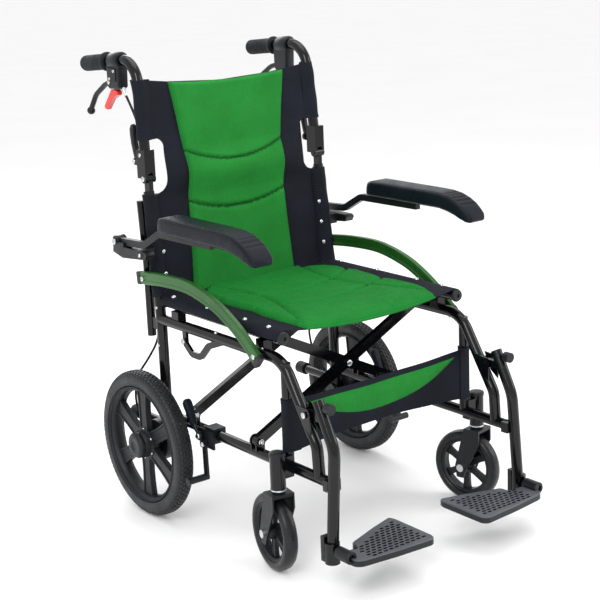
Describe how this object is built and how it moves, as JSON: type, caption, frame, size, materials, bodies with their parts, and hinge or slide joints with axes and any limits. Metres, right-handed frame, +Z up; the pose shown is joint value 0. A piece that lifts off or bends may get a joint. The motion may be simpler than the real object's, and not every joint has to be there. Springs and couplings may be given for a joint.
{
  "type": "folding transport wheelchair",
  "caption": "Folding transport wheelchair with green mesh seat and backrest, black tube frame, flip-up armrests, footplates and small rear wheels.",
  "frame": {"origin": "middle of the chair's base at floor level", "axes": "+Z up, the occupant faces -Y, +X is the occupant's left"},
  "size_m": [0.618, 0.8904, 0.938],
  "materials": {
    "frame_paint": "gloss",
    "black_plastic": "satin",
    "grip_rubber": "matte",
    "tyre_rubber": "satin",
    "latch_red": "gloss",
    "guard_green": "metallic gloss",
    "steel": "polished",
    "seat_cloth": "mesh",
    "black_nylon": "woven",
    "plate_grey": "satin"
  },
  "bodies": {
    "side_right": {"side_frame_right": "frame_paint", "brake_cable_right": "black_nylon", "brake_drum_right": "frame_paint", "side_guard_right": "guard_green", "arm_bracket_right": "black_plastic", "parking_clamp_right": "frame_paint", "tip_cap_right": "grip_rubber", "back_sling_lower": "seat_cloth", "calf_strap": "black_nylon"},
    "back_right": {"back_post_right": "frame_paint", "push_grip_right": "grip_rubber", "brake_housing_right": "black_plastic", "back_sling_upper": "seat_cloth"},
    "brake_lever_right": {"hand_brake_lever_right": "frame_paint"},
    "brake_latch_right": {"brake_latch_right": "latch_red"},
    "release_right": {"back_release_right": "black_plastic"},
    "rear_wheel_right": {"rear_tyre_right": "tyre_rubber", "rear_wheel_right": "black_plastic", "hub_cap_right": "black_plastic"},
    "caster_fork_right": {"caster_fork_right": "frame_paint", "caster_axle_right": "steel"},
    "caster_wheel_right": {"caster_wheel_right": "black_plastic", "caster_tyre_right": "tyre_rubber"},
    "arm_right": {"arm_bar_right": "frame_paint", "arm_pad_right": "black_plastic"},
    "hanger_right": {"hanger_right": "frame_paint"},
    "hanger_knob_right": {"hanger_knob_right": "black_plastic"},
    "footplate_right": {"footplate_right": "plate_grey"},
    "parking_handle_right": {"parking_handle_right": "black_plastic"},
    "shoe_bar_right": {"shoe_bar_right": "frame_paint"},
    "side_left": {"side_frame_left": "frame_paint", "brake_cable_left": "black_nylon", "brake_drum_left": "frame_paint", "side_guard_left": "guard_green", "arm_bracket_left": "black_plastic", "parking_clamp_left": "frame_paint", "tip_cap_left": "grip_rubber"},
    "back_left": {"back_post_left": "frame_paint", "push_grip_left": "grip_rubber", "brake_housing_left": "black_plastic"},
    "brake_lever_left": {"hand_brake_lever_left": "frame_paint"},
    "brake_latch_left": {"brake_latch_left": "latch_red"},
    "release_left": {"back_release_left": "black_plastic"},
    "rear_wheel_left": {"rear_tyre_left": "tyre_rubber", "rear_wheel_left": "black_plastic", "hub_cap_left": "black_plastic"},
    "caster_fork_left": {"caster_fork_left": "frame_paint", "caster_axle_left": "steel"},
    "caster_wheel_left": {"caster_wheel_left": "black_plastic", "caster_tyre_left": "tyre_rubber"},
    "arm_left": {"arm_bar_left": "frame_paint", "arm_pad_left": "black_plastic"},
    "hanger_left": {"hanger_left": "frame_paint"},
    "hanger_knob_left": {"hanger_knob_left": "black_plastic"},
    "footplate_left": {"footplate_left": "plate_grey"},
    "parking_handle_left": {"parking_handle_left": "black_plastic"},
    "shoe_bar_left": {"shoe_bar_left": "frame_paint"},
    "cross_left": {"cross_member_left": "frame_paint", "seat_sling": "seat_cloth"},
    "cross_right": {"cross_member_right": "frame_paint"}
  },
  "joints": [
    {"name": "cross_fold", "type": "hinge", "parent": "side_right", "child": "cross_left", "pos_m": [-0.223, 0.09478, 0.2255], "axis": [0, -1, 0], "range_deg": [0, 40], "deforming": ["seat_sling", "back_sling_upper", "back_sling_lower", "calf_strap"]},
    {"name": "cross_scissor", "type": "hinge", "parent": "cross_left", "child": "cross_right", "pos_m": [0, 0.10128, 0.33325], "axis": [0, -1, 0], "range_deg": [-80, 0]},
    {"name": "side_fold", "type": "hinge", "parent": "cross_right", "child": "side_left", "pos_m": [0.223, 0.10778, 0.2255], "axis": [0, -1, 0], "range_deg": [0, 40]},
    {"name": "back_fold_right", "type": "hinge", "parent": "side_right", "child": "back_right", "pos_m": [-0.21624, 0.21732, 0.69], "axis": [-1, 0, 0], "range_deg": [0, 90], "deforming": ["brake_cable_right"]},
    {"name": "back_release_right", "type": "hinge", "parent": "back_right", "child": "release_right", "pos_m": [-0.21624, 0.25178, 0.722], "axis": [-1, 0, 0], "range_deg": [0, 18], "stiffness_Nm_per_rad": 0.6, "springref_deg": -5.73},
    {"name": "brake_lever_right", "type": "hinge", "parent": "back_right", "child": "brake_lever_right", "pos_m": [-0.212, 0.33378, 0.875], "axis": [1, 0, 0], "range_deg": [0, 20], "stiffness_Nm_per_rad": 1, "springref_deg": -11.46},
    {"name": "brake_latch_right", "type": "hinge", "parent": "back_right", "child": "brake_latch_right", "pos_m": [-0.212, 0.31978, 0.857], "axis": [-1, 0, 0], "range_deg": [0, 25]},
    {"name": "rear_wheel_spin_right", "type": "hinge", "parent": "side_right", "child": "rear_wheel_right", "pos_m": [-0.277, 0.19178, 0.1525], "axis": [1, 0, 0], "continuous": true},
    {"name": "caster_swivel_right", "type": "hinge", "parent": "side_right", "child": "caster_fork_right", "pos_m": [-0.254, -0.22722, 0.2], "axis": [0, 0, 1], "continuous": true},
    {"name": "caster_spin_right", "type": "hinge", "parent": "caster_fork_right", "child": "caster_wheel_right", "pos_m": [-0.24983, -0.20358, 0.075], "axis": [0.9848, -0.1736, 0], "continuous": true},
    {"name": "arm_flip_right", "type": "hinge", "parent": "side_right", "child": "arm_right", "pos_m": [-0.257, 0.27778, 0.561], "axis": [-1, 0, 0], "range_deg": [0, 90]},
    {"name": "hanger_tilt_right", "type": "hinge", "parent": "side_right", "child": "hanger_right", "pos_m": [-0.223, -0.29422, 0.322], "axis": [-1, 0, 0], "range_deg": [0, 45]},
    {"name": "hanger_release_right", "type": "slide", "parent": "hanger_right", "child": "hanger_knob_right", "axis": [0, -1, 0], "range_m": [0, 0.006], "stiffness_N_per_m": 600, "springref_m": -0.003},
    {"name": "footplate_flip_right", "type": "hinge", "parent": "hanger_right", "child": "footplate_right", "pos_m": [-0.238, -0.39822, 0.086], "axis": [0, -1, 0], "range_deg": [0, 70]},
    {"name": "parking_brake_right", "type": "hinge", "parent": "side_right", "child": "parking_handle_right", "pos_m": [-0.245, 0.04178, 0.198], "axis": [1, 0, 0], "range_deg": [0, 60]},
    {"name": "parking_shoe_right", "type": "hinge", "parent": "side_right", "child": "shoe_bar_right", "pos_m": [-0.24, 0.02878, 0.184], "axis": [1, 0, 0], "range_deg": [0, 7]},
    {"name": "back_fold_left", "type": "hinge", "parent": "side_left", "child": "back_left", "pos_m": [0.21624, 0.21732, 0.69], "axis": [-1, 0, 0], "range_deg": [0, 90], "deforming": ["brake_cable_left"]},
    {"name": "back_release_left", "type": "hinge", "parent": "back_left", "child": "release_left", "pos_m": [0.21624, 0.25178, 0.722], "axis": [-1, 0, 0], "range_deg": [0, 18], "stiffness_Nm_per_rad": 0.6, "springref_deg": -5.73},
    {"name": "brake_lever_left", "type": "hinge", "parent": "back_left", "child": "brake_lever_left", "pos_m": [0.212, 0.33378, 0.875], "axis": [1, 0, 0], "range_deg": [0, 20], "stiffness_Nm_per_rad": 1, "springref_deg": -11.46},
    {"name": "brake_latch_left", "type": "hinge", "parent": "back_left", "child": "brake_latch_left", "pos_m": [0.212, 0.31978, 0.857], "axis": [-1, 0, 0], "range_deg": [0, 25]},
    {"name": "rear_wheel_spin_left", "type": "hinge", "parent": "side_left", "child": "rear_wheel_left", "pos_m": [0.277, 0.19178, 0.1525], "axis": [1, 0, 0], "continuous": true},
    {"name": "caster_swivel_left", "type": "hinge", "parent": "side_left", "child": "caster_fork_left", "pos_m": [0.254, -0.22722, 0.2], "axis": [0, 0, 1], "continuous": true},
    {"name": "caster_spin_left", "type": "hinge", "parent": "caster_fork_left", "child": "caster_wheel_left", "pos_m": [0.24901, -0.20374, 0.075], "axis": [0.9781, 0.2079, 0], "continuous": true},
    {"name": "arm_flip_left", "type": "hinge", "parent": "side_left", "child": "arm_left", "pos_m": [0.257, 0.27778, 0.561], "axis": [-1, 0, 0], "range_deg": [0, 90]},
    {"name": "hanger_tilt_left", "type": "hinge", "parent": "side_left", "child": "hanger_left", "pos_m": [0.223, -0.29422, 0.322], "axis": [-1, 0, 0], "range_deg": [0, 45]},
    {"name": "hanger_release_left", "type": "slide", "parent": "hanger_left", "child": "hanger_knob_left", "axis": [0, -1, 0], "range_m": [0, 0.006], "stiffness_N_per_m": 600, "springref_m": -0.003},
    {"name": "footplate_flip_left", "type": "hinge", "parent": "hanger_left", "child": "footplate_left", "pos_m": [0.238, -0.39822, 0.086], "axis": [0, 1, 0], "range_deg": [0, 70]},
    {"name": "parking_brake_left", "type": "hinge", "parent": "side_left", "child": "parking_handle_left", "pos_m": [0.245, 0.04178, 0.198], "axis": [1, 0, 0], "range_deg": [0, 60]},
    {"name": "parking_shoe_left", "type": "hinge", "parent": "side_left", "child": "shoe_bar_left", "pos_m": [0.24, 0.02878, 0.184], "axis": [1, 0, 0], "range_deg": [0, 7]}
  ],
  "couplings": [
    {"joint": "cross_scissor", "follows": "cross_fold", "ratio": -2},
    {"joint": "side_fold", "follows": "cross_fold", "ratio": 1},
    {"joint": "footplate_flip_right", "follows": "cross_fold", "ratio": 1.75},
    {"joint": "parking_shoe_right", "follows": "parking_brake_right", "ratio": 0.11667},
    {"joint": "footplate_flip_left", "follows": "cross_fold", "ratio": 1.75},
    {"joint": "parking_shoe_left", "follows": "parking_brake_left", "ratio": 0.11667},
    {"joint": "back_fold_left", "follows": "back_fold_right", "ratio": 1}
  ]
}
